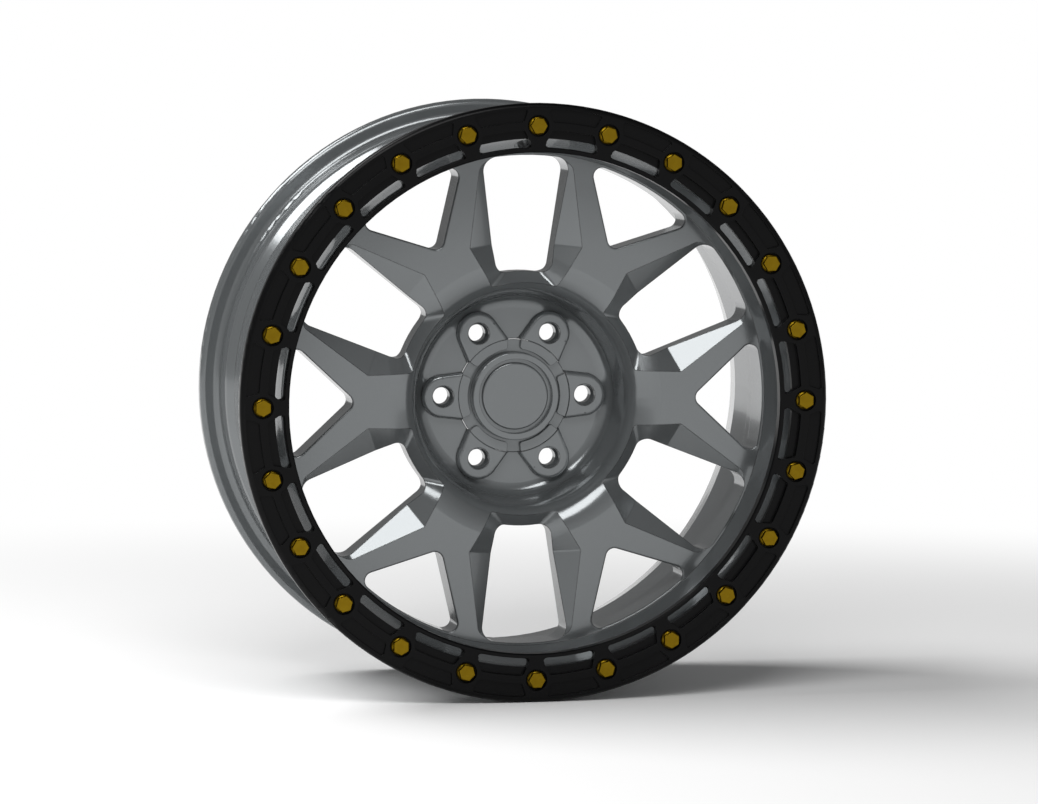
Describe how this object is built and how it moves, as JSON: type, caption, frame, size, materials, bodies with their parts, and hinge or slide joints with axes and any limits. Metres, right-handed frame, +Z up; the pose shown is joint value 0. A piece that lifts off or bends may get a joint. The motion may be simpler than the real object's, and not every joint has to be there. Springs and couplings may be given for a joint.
{
  "type": "simulated beadlock wheel",
  "caption": "Cast light-truck wheel with forked spokes, a black bolted-on simulated beadlock ring and a snap-in centre cap, for tubeless tyres.",
  "frame": {"origin": "centre of the hub bore, in the plane where the wheel meets the hub", "axes": "wheel axis along Y with the outer face towards -Y and the hub side towards +Y; +Z up, through the window below the valve hole"},
  "size_m": [0.5499, 0.2565, 0.55],
  "materials": {
    "wheel_paint": "satin gunmetal paint under clear coat on cast aluminium",
    "ring_paint": "satin black paint on aluminium",
    "bolt_plating": "gold zinc plating on steel",
    "cap_plastic": "satin gunmetal paint on moulded plastic",
    "disc_plastic": "satin gunmetal paint on moulded plastic",
    "spring_steel": "drawn spring wire"
  },
  "bodies": {
    "root": {"wheel": "wheel_paint", "beadlock_ring": "ring_paint", "ring_bolts": "bolt_plating", "centre_cap": "cap_plastic", "cap_disc": "disc_plastic", "cap_spring_ring": "spring_steel"}
  },
  "joints": []
}
